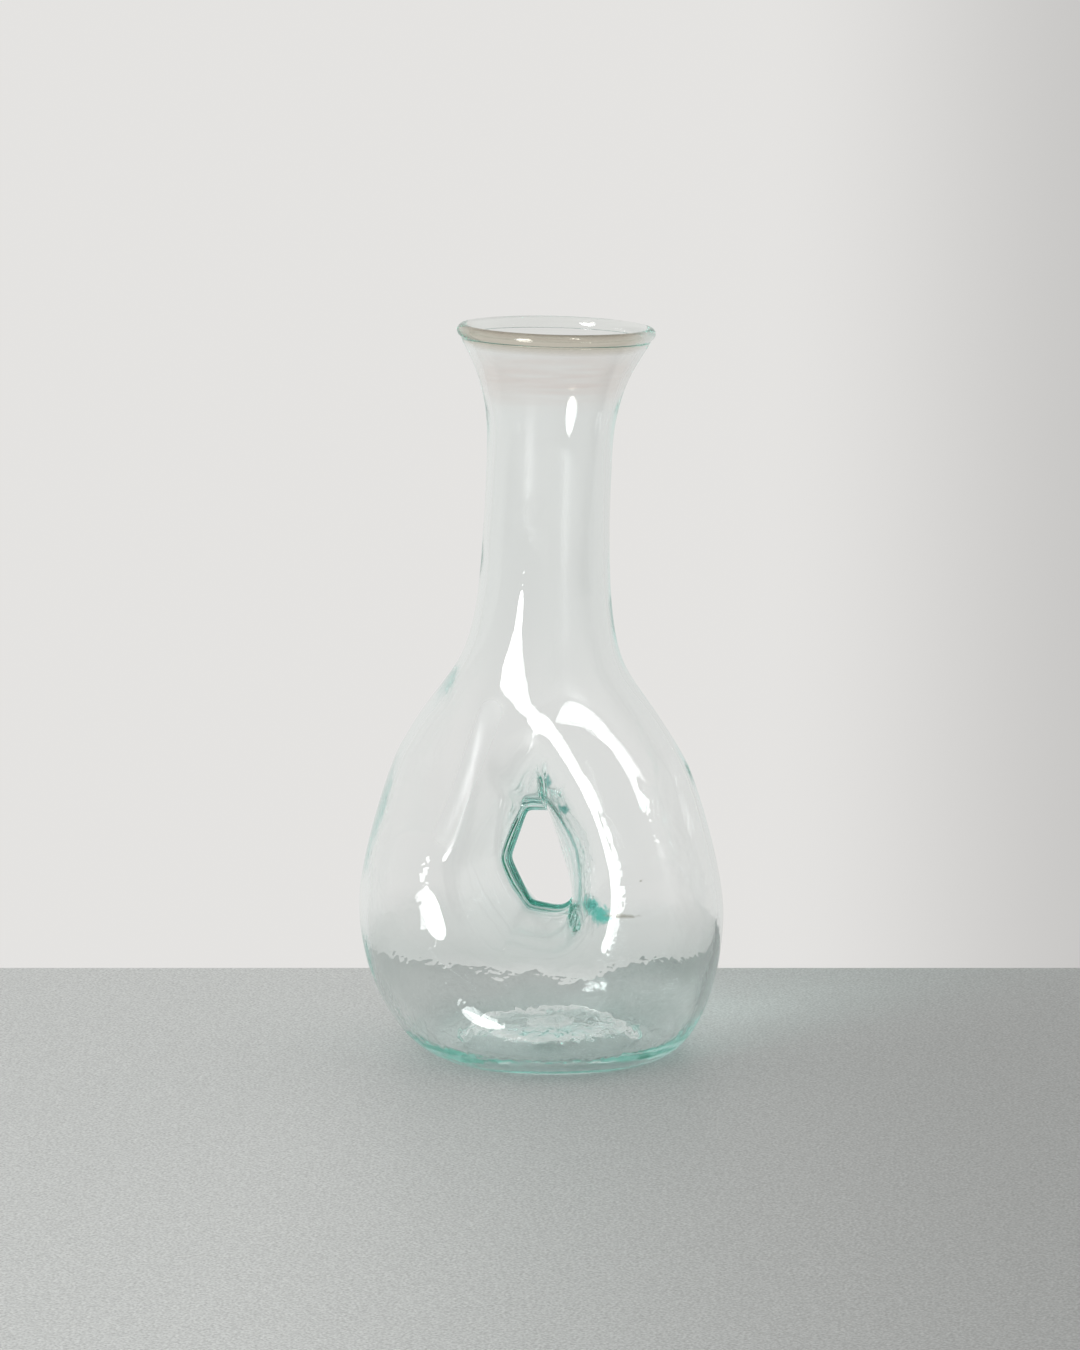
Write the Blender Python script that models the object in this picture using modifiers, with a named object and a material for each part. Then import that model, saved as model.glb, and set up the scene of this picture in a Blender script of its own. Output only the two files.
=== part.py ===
"""Pierced decanter of recycled glass: a blown vessel whose belly is pinched together and holed through.

The glass is one blown bubble with a trail of glass wrapped round its mouth and the wad of the
pontil iron left under its kicked-up base. X runs across the belly, Y through the hole, Z up.
"""

import math

import bmesh
import bpy
import numpy as np
from mathutils import Vector
from mathutils.geometry import interpolate_bezier

# Outer outline of the bubble: half-widths across X, and the rise from each level to the next
FOOT_RADIUS = 0.0440
BELLY_RADIUS = 0.0726
SHOULDER_RADIUS = 0.0570
NECK_RADIUS = 0.02425
MOUTH_RADIUS = 0.0368
BELLY_RISE = 0.0553
SHOULDER_RISE = 0.0593
NECK_RISE = 0.1154
MOUTH_RISE = 0.0463
SHOULDER_SLOPE = math.radians(59.4)
MOUTH_SLOPE = math.radians(105.5)

# Ease of the outline's curves: how far each level's direction carries, as a share of the rise or step
FOOT_EASE = 0.42
BELLY_EASE_DOWN = 0.50
BELLY_EASE_UP = 0.30
SHOULDER_EASE_DOWN = 0.15
SHOULDER_EASE_UP = 0.415
NECK_EASE_DOWN = 0.82
NECK_EASE_UP = 0.68
MOUTH_EASE = 0.15

# Glass
WALL = 0.0026
BASE_GLASS = 0.0052
SEAT_GAP = 0.0003

# Kicked-up base: a flat ring to stand on, and a punt inside it
FOOT_WIDTH = 0.0080
PUNT_RISE = 0.0070
PUNT_FLAT_RADIUS = 0.0140
PUNT_SLOPE = math.radians(145.0)
PUNT_EASE = 0.50

# Flattening of the bubble between its round foot and its round neck: the belly's depth as a share of its width
BELLY_DEPTH_SHARE = 0.69
FLATTEN_RISE = 0.0542
ROUND_FROM = 0.0905
ROUND_TO = 0.1634

# Taper of the belly's left side, front and back, which is strongest at one height
TAPER_SHARE = 0.21
TAPER_FROM = 0.0258
TAPER_MOST = 0.1102
TAPER_END = 0.1702
TAPER_INNER = 0.0122
TAPER_WIDTH = 0.0215

# Hole through the belly
HOLE_OFFSET = 0.0005
HOLE_HEIGHT = 0.0742
HOLE_WIDTH = 0.0244
HOLE_TALL = 0.0390
HOLE_CORNERS = (
    (-0.48, 1.00),
    (0.29, 0.97),
    (1.00, -0.48),
    (0.90, -0.76),
    (0.38, -0.95),
    (-0.36, -0.84),
    (-1.00, -0.04),
)

# Dish that the front wall is drawn into round the hole
DISH_REACH_LEFT = 0.0584
DISH_REACH_RIGHT = 0.0547
DISH_REACH_UP = 0.1037
DISH_REACH_DOWN = 0.0572
DISH_FULLNESS_UP = 1.44
DISH_FULLNESS_DOWN = 2.00
DISH_EASE_LEFT = 0.37
DISH_EASE_RIGHT = 0.77

# Dish of the back wall where it differs, which is from the hole's middle upwards
BACK_REACH_RIGHT = 0.0877
BACK_REACH_UP = 0.0718
BACK_FULLNESS_UP = 1.98
BACK_EASE_LEFT = 0.60
BACK_EASE_RIGHT = 0.45
BACK_FROM = 0.0592
BACK_TO = 0.0842

# Web where the two walls meet
WEB_HALF = 0.0030
WEB_FLANGE = 0.0030
WELD_WIDTH = 0.0040
SLIT_HALF = 0.0008
HOLE_EDGE_EASE = 0.0010
HOLE_EDGE_TURN = math.radians(60.0)

# Hand-made lean and sway of the centre line, and tilt of the mouth
FOOT_SWAY = 0.0047
SHOULDER_SWAY = -0.0011
SHOULDER_SWAY_HEIGHT = 0.1380
SHOULDER_SWAY_REACH = 0.0220
MOUTH_SWAY = 0.0063
SWAY_TURN_HEIGHT = 0.0510
FOOT_SWAY_BEND = 2.0
MOUTH_SWAY_BEND = 2.3
LEAN = 0.0146
LEAN_HEADING = math.radians(16.0)
LEAN_FROM = 0.0675
LEAN_TO = 0.1439
MOUTH_TILT = math.radians(1.6)
TILT_FROM = 0.1670

# Glass trail round the mouth
LIP_WIDTH = 0.0050
LIP_HEIGHT = 0.0048
LIP_OVERHANG = 0.0009
LIP_FULLNESS = 0.8

# Wad of the pontil iron
PONTIL_MARGIN = 0.0030
PONTIL_THICKNESS = 0.0022

# Facets
COLUMNS = 52
COLUMN_CROWDING = 0.64
DISH_CROWDING_RIGHT = 1.2
DISH_CROWDING_LEFT = 1.6
FLARE_ROWS = 7
NECK_ROWS = 16
SIDE_ROWS = 14
HEEL_ROWS = 11
PUNT_ROWS = 5
LIP_ROWS = 8
HOLE_POINTS = 40
HOLE_SIDE_POINTS = 6
EDGE_ROWS = 6
SHARP_ANGLE = math.radians(55.0)
MERGE = 0.00001
CUT_OVERSHOOT = 0.0100

# Heights that follow from the rises
BELLY_HEIGHT = BELLY_RISE
SHOULDER_HEIGHT = BELLY_HEIGHT + SHOULDER_RISE
NECK_HEIGHT = SHOULDER_HEIGHT + NECK_RISE
MOUTH_HEIGHT = NECK_HEIGHT + MOUTH_RISE

GLASS_COLOUR = (0.80, 0.88, 0.86, 1.0)
LIP_COLOUR = (0.72, 0.78, 0.75, 1.0)
PONTIL_COLOUR = (0.60, 0.74, 0.71, 1.0)
GLASS_ROUGHNESS = 0.03
PONTIL_ROUGHNESS = 0.35


def smooth_step(share):
    """Ease from 0 to 1 with level ends."""
    share = np.clip(share, 0.0, 1.0)
    return share * share * (3.0 - 2.0 * share)


def outline_knot(radius, height, slope, inset):
    """A point of the outline, moved inwards by inset, with the way that the outline runs down through it."""
    way = Vector((math.cos(slope), 0.0, -math.sin(slope)))
    inward = Vector((way.z, 0.0, -way.x))
    return Vector((radius, 0.0, height)) + inset * inward, way


def half_outline(wall, base, overshoot):
    """Right half of a form's outline in the XZ plane: its side from mouth to foot, and its base to the axis.

    The outer form has no wall or base. The cavity's outline lies that far inside the outer one, and
    runs out of the mouth by the overshoot.
    """
    mouth = outline_knot(MOUTH_RADIUS, MOUTH_HEIGHT, MOUTH_SLOPE, wall)
    neck = outline_knot(NECK_RADIUS, NECK_HEIGHT, math.pi / 2, wall)
    shoulder = outline_knot(SHOULDER_RADIUS, SHOULDER_HEIGHT, SHOULDER_SLOPE, wall)
    belly = outline_knot(BELLY_RADIUS, BELLY_HEIGHT, math.pi / 2, wall)
    foot = outline_knot(FOOT_RADIUS, 0.0, math.pi, base)
    ring = outline_knot(FOOT_RADIUS - FOOT_WIDTH, 0.0, math.pi, base)[0]
    punt_way = Vector((math.cos(PUNT_SLOPE), 0.0, math.sin(PUNT_SLOPE)))
    punt_top, punt_top_way = outline_knot(PUNT_FLAT_RADIUS, PUNT_RISE, math.pi, base)
    punt_reach = PUNT_EASE * (ring.x - PUNT_FLAT_RADIUS)
    stretches = (
        (mouth, MOUTH_EASE * MOUTH_RISE, neck, NECK_EASE_UP * MOUTH_RISE, FLARE_ROWS),
        (neck, NECK_EASE_DOWN * NECK_RISE, shoulder, SHOULDER_EASE_UP * NECK_RISE, NECK_ROWS),
        (shoulder, SHOULDER_EASE_DOWN * SHOULDER_RISE, belly, BELLY_EASE_UP * SHOULDER_RISE, SIDE_ROWS),
        (belly, BELLY_EASE_DOWN * BELLY_RISE, foot, FOOT_EASE * (BELLY_RADIUS - FOOT_RADIUS), HEEL_ROWS),
    )
    side = []
    if overshoot:
        side.append(mouth[0] - overshoot * mouth[1])
    for (start, start_way), start_reach, (end, end_way), end_reach, rows in stretches:
        curve = interpolate_bezier(start, start + start_reach * start_way, end - end_reach * end_way, end, rows)
        side += curve[:-1]
    side.append(foot[0])
    punt = (ring, ring + punt_reach * punt_way, punt_top - punt_reach * punt_top_way, punt_top)
    bottom = [*interpolate_bezier(*punt, PUNT_ROWS), Vector((0.0, 0.0, punt_top.z))]
    return side, bottom


def new_object(name, mesh, collection):
    """An object holding a mesh, in a collection."""
    thing = bpy.data.objects.new(name, mesh)
    collection.objects.link(thing)
    return thing


def turned(name, profile, collection, closed=False):
    """Solid of revolution about Z: a profile with a Screw modifier, then made a plain mesh."""
    count = len(profile)
    edges = [(i, (i + 1) % count) for i in range(count if closed else count - 1)]
    mesh = bpy.data.meshes.new(name)
    mesh.from_pydata(profile, edges, [])
    thing = new_object(name, mesh, collection)
    screw = thing.modifiers.new("turn", "SCREW")
    screw.axis = "Z"
    screw.steps = COLUMNS
    screw.render_steps = COLUMNS
    screw.use_merge_vertices = True
    screw.merge_threshold = MERGE
    depsgraph = bpy.context.evaluated_depsgraph_get()
    solid = bpy.data.meshes.new_from_object(thing.evaluated_get(depsgraph))
    thing.modifiers.clear()
    thing.data = solid
    bpy.data.meshes.remove(mesh)
    solid.name = name
    return thing


def deform(thing, *moves):
    """Pass an object's vertices through each move in turn; a move takes and gives x, y and z arrays."""
    vertices = thing.data.vertices
    places = np.empty(3 * len(vertices), dtype=np.float32)
    vertices.foreach_get("co", places)
    x, y, z = places.reshape(-1, 3).astype(float).T
    for move in moves:
        x, y, z = move(x, y, z)
    vertices.foreach_set("co", np.stack((x, y, z), axis=1).astype(np.float32).ravel())
    thing.data.update()


def crowd_columns(x, y, z):
    """Turn the upright columns of vertices towards the front and back, where the dish needs them."""
    radius = np.hypot(x, y)
    angle = np.arctan2(y, x)
    angle = angle + 0.5 * COLUMN_CROWDING * np.sin(2.0 * angle)
    return radius * np.cos(angle), radius * np.sin(angle), z


def depth_share(z):
    """Depth of the bubble as a share of its width at a height."""
    pressed = smooth_step(z / FLATTEN_RISE)
    rounded = smooth_step((z - ROUND_FROM) / (ROUND_TO - ROUND_FROM))
    return 1.0 - (1.0 - BELLY_DEPTH_SHARE) * pressed * (1.0 - rounded)


def left_share(x, z):
    """Share of its depth that the bubble's left side keeps where it tapers."""
    left = smooth_step((-x - TAPER_INNER) / TAPER_WIDTH)
    rise = smooth_step((z - TAPER_FROM) / (TAPER_MOST - TAPER_FROM))
    fall = smooth_step((z - TAPER_MOST) / (TAPER_END - TAPER_MOST))
    return 1.0 - TAPER_SHARE * left * rise * (1.0 - fall)


def flatten(x, y, z):
    """Press the round bubble oval."""
    return x, y * depth_share(z), z


def hole_radius(angle):
    """Radius of the hole at an angle about its centre, on a smooth closed curve through its corners."""
    corners = [Vector((across * HOLE_WIDTH / 2, up * HOLE_TALL / 2)) for across, up in HOLE_CORNERS]
    count = len(corners)
    handles = [(corners[(i + 1) % count] - corners[i - 1]) / 6 for i in range(count)]
    curve = []
    for i in range(count):
        j = (i + 1) % count
        stretch = (corners[i], corners[i] + handles[i], corners[j] - handles[j], corners[j])
        curve += interpolate_bezier(*stretch, HOLE_SIDE_POINTS)[:-1]
    curve = np.array(curve)
    curve_angles = np.arctan2(curve[:, 1], curve[:, 0])
    return np.interp(angle, curve_angles, np.hypot(*curve.T), period=2 * math.pi)


def between(first, second, turn):
    """A value part of the way from the first to the second."""
    return first + (second - first) * turn


def dish_radius(angle, back):
    """Radius of the dish's rim at an angle about the hole's centre: a rounded teardrop of four unlike quarters."""
    wide = np.where(np.cos(angle) > 0.0, between(DISH_REACH_RIGHT, BACK_REACH_RIGHT, back), DISH_REACH_LEFT)
    above = np.sin(angle) > 0.0
    tall = np.where(above, between(DISH_REACH_UP, BACK_REACH_UP, back), DISH_REACH_DOWN)
    power = np.where(above, between(DISH_FULLNESS_UP, BACK_FULLNESS_UP, back), DISH_FULLNESS_DOWN)
    return (np.abs(np.cos(angle) / wide) ** power + np.abs(np.sin(angle) / tall) ** power) ** (-1.0 / power)


def leftward(angle):
    """How far an angle about the hole's centre is turned from right to left."""
    return smooth_step(0.5 - 0.5 * np.cos(angle))


def dish_ease(angle, back):
    """How slowly a wall leaves the web at an angle about the hole's centre."""
    left = leftward(angle)
    front_ease = between(DISH_EASE_RIGHT, DISH_EASE_LEFT, left)
    return between(front_ease, between(BACK_EASE_RIGHT, BACK_EASE_LEFT, left), back)


def pinch(side, web_half, flange):
    """The move that presses the round bubble oval and draws its front and back walls together round the hole.

    About the hole's centre, the share of the way from the flange's rim to the rim of the dish sets how
    much of a wall's depth is kept, from the web's half-thickness at the flange to all of it at the rim.
    Vertices are also drawn along the wall towards the flange, where it is steepest.
    """
    heights = np.array([knot.z for knot in reversed(side)])
    widths = np.array([knot.x for knot in reversed(side)])

    def move(x, y, z):
        radius = np.hypot(x, y)
        standing = (z < BELLY_HEIGHT) & (radius <= FOOT_RADIUS)
        across = x - HOLE_OFFSET
        up = z - HOLE_HEIGHT
        angle = np.arctan2(up, across)
        inner = hole_radius(angle) + flange
        back = np.where(y > 0.0, smooth_step((z - BACK_FROM) / (BACK_TO - BACK_FROM)), 0.0)
        outer = dish_radius(angle, back)
        share = (np.hypot(across, up) - inner) / (outer - inner)
        dished = (share < 1.0) & ~standing & (np.abs(y) > 0.0)
        facing = (y / np.maximum(radius, MERGE)) ** 2
        crowding = between(DISH_CROWDING_RIGHT, DISH_CROWDING_LEFT, leftward(angle))
        share = np.clip(share, 0.0, 1.0) ** (1.0 + (crowding - 1.0) * facing)
        drawn = np.where(dished & (share > 0.0), inner + share * (outer - inner), np.hypot(across, up))
        new_x = HOLE_OFFSET + drawn * np.cos(angle)
        new_z = HOLE_HEIGHT + drawn * np.sin(angle)
        width = np.interp(new_z, heights, widths)
        depth = depth_share(new_z) * left_share(new_x, new_z) * np.sqrt(np.maximum(width**2 - new_x**2, 0.0))
        web = np.minimum(web_half, depth)
        kept = np.sin(0.5 * math.pi * share ** dish_ease(angle, back))
        pressed = np.copysign(web + (depth - web) * kept, y)
        oval = y * depth_share(z) * left_share(x, z)
        return np.where(dished, new_x, x), np.where(dished, pressed, oval), np.where(dished, new_z, z)

    return move


def sway(x, y, z):
    """Carry the levels along the leaning, swaying centre line, and tilt the mouth down towards +X."""
    foot = FOOT_SWAY * np.clip(1.0 - z / SWAY_TURN_HEIGHT, 0.0, 1.0) ** FOOT_SWAY_BEND
    climb = np.clip((z - SWAY_TURN_HEIGHT) / (MOUTH_HEIGHT - SWAY_TURN_HEIGHT), 0.0, None)
    shoulder = SHOULDER_SWAY * np.exp(-(((z - SHOULDER_SWAY_HEIGHT) / SHOULDER_SWAY_REACH) ** 2))
    lean = LEAN * smooth_step((z - LEAN_FROM) / (LEAN_TO - LEAN_FROM))
    aside = foot + MOUTH_SWAY * climb**MOUTH_SWAY_BEND + shoulder - lean * math.sin(LEAN_HEADING)
    tilt = math.tan(MOUTH_TILT) * smooth_step((z - TILT_FROM) / (MOUTH_HEIGHT - TILT_FROM))
    return x + aside, y + lean * math.cos(LEAN_HEADING), z - tilt * x


def hole_loft(name, collection, stations):
    """Closed solid through the hole's outline along Y: one ring per (y, offset) station, capped at both ends."""
    angles = np.linspace(-math.pi, math.pi, HOLE_POINTS, endpoint=False)
    mesh = bpy.data.meshes.new(name)
    form = bmesh.new()
    rings = []
    for y, offset in stations:
        radius = hole_radius(angles) + offset
        across = HOLE_OFFSET + radius * np.cos(angles)
        up = HOLE_HEIGHT + radius * np.sin(angles)
        rings.append([form.verts.new((a, y, u)) for a, u in zip(across, up)])
    for near, far in zip(rings, rings[1:]):
        for i in range(HOLE_POINTS):
            form.faces.new((near[i - 1], near[i], far[i], far[i - 1]))
    form.faces.new(rings[0])
    form.faces.new(rings[-1][::-1])
    bmesh.ops.recalc_face_normals(form, faces=form.faces)
    form.to_mesh(mesh)
    form.free()
    loft = new_object(name, mesh, collection)
    deform(loft, sway)
    return loft


def cut(thing, cutter):
    """Take a cutter's volume away from an object."""
    boolean = thing.modifiers.new(cutter.name, "BOOLEAN")
    boolean.operation = "DIFFERENCE"
    boolean.solver = "EXACT"
    boolean.object = cutter
    cutter.hide_render = True
    cutter.display_type = "WIRE"


def glass(name, colour, roughness):
    """A clear glass finish."""
    material = bpy.data.materials.new(name)
    material.use_nodes = True
    shader = material.node_tree.nodes["Principled BSDF"]
    shader.inputs["Base Color"].default_value = colour
    shader.inputs["Roughness"].default_value = roughness
    shader.inputs["Metallic"].default_value = 0.0
    shader.inputs["Transmission Weight"].default_value = 1.0
    return material


def finish(thing, material):
    """Give an object its material and smooth shading, with its real edges left sharp."""
    thing.data.materials.append(material)
    thing.data.shade_smooth()
    thing.data.set_sharp_from_angle(angle=SHARP_ANGLE)


def vessel_form(name, collection, wall, base, overshoot, web_half, flange):
    """Closed form of the vessel: a turned outline pressed oval, pinched at the hole and swayed."""
    side, bottom = half_outline(wall, base, overshoot)
    top = Vector((0.0, 0.0, side[0].z))
    form = turned(name, [top, *side, *bottom], collection)
    deform(form, crowd_columns, pinch(side, web_half, flange), sway)
    return form


def make_glass_body(parts, formers):
    """The blown bubble: outer form less its cavity, with the two walls welded round the hole."""
    body = vessel_form("glass_body", parts, 0.0, 0.0, 0.0, WEB_HALF, WEB_FLANGE)
    weld_reach = WEB_FLANGE + WELD_WIDTH
    cavity = vessel_form("cavity", formers, WALL, BASE_GLASS, CUT_OVERSHOOT, SLIT_HALF, weld_reach)
    through = BELLY_RADIUS + CUT_OVERSHOOT
    weld = hole_loft("weld", formers, ((-through, weld_reach), (through, weld_reach)))
    cut(cavity, weld)
    edge_radius = WEB_HALF + HOLE_EDGE_EASE
    turns = np.linspace(-HOLE_EDGE_TURN, HOLE_EDGE_TURN, EDGE_ROWS)
    stations = [(edge_radius * math.sin(turn), edge_radius * (1.0 - math.cos(turn))) for turn in turns]
    hole = hole_loft("hole", formers, [(-through, stations[0][1]), *stations, (through, stations[-1][1])])
    cut(body, cavity)
    cut(body, hole)
    finish(body, glass("recycled_glass", GLASS_COLOUR, GLASS_ROUGHNESS))


def make_lip_wrap(parts):
    """The trail of glass wrapped round the mouth: a bead with a flat seat on the bubble's rim."""
    half = LIP_WIDTH / 2
    middle = MOUTH_RADIUS + LIP_OVERHANG - half
    seat = MOUTH_HEIGHT + SEAT_GAP
    turns = np.linspace(math.pi, 0.0, LIP_ROWS)
    rises = LIP_HEIGHT * np.sin(turns) ** LIP_FULLNESS
    bead = [Vector((middle + half * math.cos(turn), 0.0, seat + rise)) for turn, rise in zip(turns, rises)]
    lip = turned("lip_wrap", bead, parts, closed=True)
    deform(lip, crowd_columns, sway)
    finish(lip, glass("lip_glass", LIP_COLOUR, GLASS_ROUGHNESS))


def make_pontil_pad(parts):
    """The wad left by the pontil iron: a flat-topped lens under the punt."""
    top = PUNT_RISE - SEAT_GAP
    radius = PUNT_FLAT_RADIUS - PONTIL_MARGIN
    turns = np.linspace(0.0, math.pi / 2, PUNT_ROWS)
    lens = [Vector((radius * math.cos(turn), 0.0, top - PONTIL_THICKNESS * math.sin(turn))) for turn in turns]
    pad = turned("pontil_pad", [Vector((0.0, 0.0, top)), *lens], parts)
    deform(pad, flatten, sway)
    finish(pad, glass("pontil_glass", PONTIL_COLOUR, PONTIL_ROUGHNESS))


def main():
    """Build the decanter's pieces in an empty scene."""
    for thing in list(bpy.data.objects):
        bpy.data.objects.remove(thing, do_unlink=True)
    parts = bpy.data.collections.new("decanter")
    formers = bpy.data.collections.new("decanter_formers")
    bpy.context.scene.collection.children.link(parts)
    bpy.context.scene.collection.children.link(formers)
    make_glass_body(parts, formers)
    make_lip_wrap(parts)
    make_pontil_pad(parts)


main()
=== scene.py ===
import math

import bpy
import numpy as np
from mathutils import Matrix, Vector


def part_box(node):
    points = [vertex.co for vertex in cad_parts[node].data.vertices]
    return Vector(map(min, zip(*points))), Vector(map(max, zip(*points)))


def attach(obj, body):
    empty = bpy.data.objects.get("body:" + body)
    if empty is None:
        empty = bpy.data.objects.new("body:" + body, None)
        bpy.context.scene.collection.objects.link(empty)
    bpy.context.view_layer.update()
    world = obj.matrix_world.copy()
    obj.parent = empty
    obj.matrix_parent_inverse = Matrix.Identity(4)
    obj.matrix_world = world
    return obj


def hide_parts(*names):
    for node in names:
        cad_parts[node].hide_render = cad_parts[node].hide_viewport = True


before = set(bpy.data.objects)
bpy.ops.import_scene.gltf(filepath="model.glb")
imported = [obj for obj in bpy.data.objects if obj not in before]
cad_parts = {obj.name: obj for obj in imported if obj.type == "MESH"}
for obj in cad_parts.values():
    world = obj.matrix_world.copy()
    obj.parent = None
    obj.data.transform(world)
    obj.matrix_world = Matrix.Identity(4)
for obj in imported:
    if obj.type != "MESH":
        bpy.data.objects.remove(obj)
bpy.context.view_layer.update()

bl_info = {
    "name": "Pierced glass decanter",
    "version": (1, 0, 0),
    "blender": (4, 5, 0),
    "location": "3D View > Sidebar > Decanter",
    "description": "Blows a decanter whose belly is pinched shut and pierced by a hole",
    "category": "Object",
}

# Lengths of the handles of the side's curves
MOUTH_HANDLE = 0.0069
NECK_HANDLE_UP = 0.0315
NECK_HANDLE_DOWN = 0.0945
SHOULDER_HANDLE_UP = 0.0480
SHOULDER_HANDLE_DOWN = 0.0088
BELLY_HANDLE_UP = 0.0180
BELLY_HANDLE_DOWN = 0.0275
FOOT_HANDLE = 0.0120

# Slopes that the side passes through
MOUTH_SLOPE = math.radians(74.5)
SHOULDER_SLOPE = math.radians(59.4)

# Heights where the round foot has turned oval, and where the oval starts and ends turning round again
OVAL_FROM = 0.0540
ROUND_FROM = 0.0832
ROUND_TO = 0.1781

# How much of its depth the belly's left loses, and the heights where that starts and is greatest
TAPER = 0.236
TAPER_FROM = 0.0237
TAPER_MOST = 0.1258

# How far above its greatest the taper fades, and where and over what width it sets in left of the axis
TAPER_FADE = 0.0600
TAPER_INNER = 0.0121
TAPER_WIDTH = 0.0217

# Sway of the axis to the side, worked hot
FOOT_SWAY = 0.0047
SWAY_TURN = 0.0510
MOUTH_SWAY = 0.00627
MOUTH_SWAY_POWER = 2.3
SHOULDER_SWAY = -0.00107
SHOULDER_SWAY_HEIGHT = 0.138
SHOULDER_SWAY_REACH = 0.022

# Lean of the neck to the back, and tilt of the mouth
LEAN_FROM = 0.0605
LEAN_TO = 0.1497
LEAN_SIDE_SHARE = -0.287
MOUTH_TILT = math.radians(1.62)
TILT_FROM = 0.167

# The hole's corners in halves of its width and height, and how sharp they are
HOLE_CORNERS = (
    (-0.47, 0.96), (0.30, 0.98), (0.82, 0.00), (1.08, -0.49),
    (1.03, -0.74), (0.68, -0.90), (-0.34, -0.81), (-1.01, 0.02),
)
HOLE_SHARPNESS = 18.0

# Reach of the dish pressed round the hole
DISH_LEFT = 0.0530
DISH_RIGHT = 0.0598
DISH_UP = 0.1053
DISH_DOWN = 0.0595

# How full the dish's outline is, and how far its creases are rounded off
DISH_FULLNESS_UP = 1.378
DISH_FULLNESS_DOWN = 2.0
DISH_BLEND = 0.15

# How fast the dish deepens, and how its slope softens next to the hole's left edge
DISH_EASE_LEFT = 0.425
DISH_EASE_RIGHT = 0.696
RIM_EASE = 0.8
RIM_SHARE = 0.35

# The dish behind where it differs, and the heights between which it takes over
BACK_RIGHT = 0.0617
BACK_UP = 0.0670
BACK_FULLNESS_UP = 1.911
BACK_EASE_LEFT = 0.311
BACK_EASE_RIGHT = 0.457
BACK_FROM = 0.0592
BACK_TO = 0.0842

# How the depth of the belly differs behind, and the heights where it turns round there
BACK_DEPTH = -0.052
BACK_ROUND_FROM = 0.1048
BACK_ROUND_TO = 0.1778

# The web where the two walls meet round the hole
BEAD = 0.0013
WELD_HALF = 0.0017
WELD_WIDTH = 0.004
SLIT_HALF = 0.0006

# The base
FOOT_RING = 0.008
PUNT_RADIUS = 0.012
PUNT_SLOPE = math.radians(35.0)
PUNT_MIDDLE = 0.0004
HEEL_RISE = 0.0095

# The lip: how far out and, as a share of its thickness, how high it sits, and the part of a circle it is
LIP_OUT = 0.0004
LIP_SIT = 0.45
LIP_SWING = (math.radians(-50.0), math.radians(230.0))

# The broad waves: how many sines they add up, and between which shares the lengths of those lie
WAVE_COUNT = 9
WAVE_LENGTHS = (0.7, 1.5)

# Length and random seed of the waves
INSIDE_WAVELENGTH = 0.030
INSIDE_SEED = 11
OUTSIDE_WAVELENGTH = 0.034
OUTSIDE_SEED = 12

# The share of the waves that the outside keeps, and how many wave heights it lies inwards
OUTSIDE_WAVE = 0.20
OUTSIDE_SINK = 2.0

# Where the waves set in over the foot and fade under the mouth, as start and length
WAVE_FOOT = (0.004, 0.020)
WAVE_MOUTH = (0.250, 0.020)

# The ripples: their scale, and the share of the finer ones and how much finer they are
RIPPLE_SCALE = 115.0
RIPPLE_FINE = 0.50
FINE_SCALE = 2.7

# The share of the ripples kept outside, up the neck and at the sides
OUTSIDE_RIPPLE = 0.04
NECK_RIPPLE = 0.12
SIDE_RIPPLE = 0.25

# Where the ripples grow away from the hole and calm down up the neck and to the sides, as start and length
CALM_HOLE = (0.008, 0.022)
CALM_NECK = (0.075, 0.040)
CALM_SIDE = (0.042, 0.022)

# Where the tints of the neck and of the low belly set in or fade, as start and length; the low belly's tint
# is part glass tint, part painted shade of the shadowed floor seen through it
PALE_NECK = (0.130, 0.050)
LOW_TOP = (0.042, 0.016)
LOW_FOOT = (0.014, 0.014)

# Where the tint of the hole's edge fades outwards and to the right, as start and length, and what is left
RIM_FADE = (0.0005, 0.0030)
RIM_SIDE = (-0.002, 0.010)
RIM_RIGHT_SHARE = 0.15

# Where the tint of the lip sets in upwards and fades to the back, as start and length, and what is left
LIP_UNDER = (-0.0035, 0.0030)
LIP_FADE = (-0.020, 0.026)
LIP_BACK_SHARE = 0.12

# The coloured line along the crest of the lip
CREST_TURN = math.radians(66.0)
CREST_SPREAD = math.radians(26.0)

# A dulled streak down the left of the belly: its two ends, and how far it reaches sideways
DULL_TOP = (-0.0150, -0.0172, 0.1350)
DULL_BOTTOM = (-0.0300, -0.0288, 0.0890)
DULL_REACH = 0.0065

# Smoky streaks: how they are drawn out level, the part of the noise that shows, and between which heights
STREAK_SCALE = (36.0, 36.0, 800.0)
STREAK_SHOWN = (0.15, 0.75)
STREAK_FROM = 0.247
STREAK_TO = 0.277

# Painted reflections beside the hole, standing for light turned back inside the thick weld, as place, reach
# and fray
WELD_REFLECTIONS = (
    ((0.0295, -0.0330, 0.0645), (0.0085, 0.0300, 0.0060), 1.10),
    ((0.0340, -0.0353, 0.0618), (0.0085, 0.0300, 0.0058), 1.00),
)

# Folds of glass over the hole, as place, reach and fray
CURLS = (
    ((0.0152, -0.0217, 0.0990), (0.0058, 0.0150, 0.0046), 1.20),
    ((0.0080, -0.0182, 0.1085), (0.0050, 0.0150, 0.0066), 1.30),
)

# Specks and threads caught in the glass, as place, reach and fray
SEEDS = (
    ((-0.0086, -0.0164, 0.1715), (0.0009, 0.0060, 0.0040), 0.80),
    ((0.0280, 0.0089, 0.2488), (0.0030, 0.0090, 0.0010), 0.80),
    ((-0.0198, -0.0315, 0.1009), (0.0009, 0.0040, 0.0009), 0.80),
    ((0.0496, -0.0020, 0.1214), (0.0008, 0.0040, 0.0010), 0.80),
    ((0.0491, -0.0327, 0.0755), (0.0008, 0.0040, 0.0006), 0.80),
    ((0.0420, -0.0353, 0.0622), (0.0100, 0.0300, 0.0008), 0.80),
)

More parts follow.
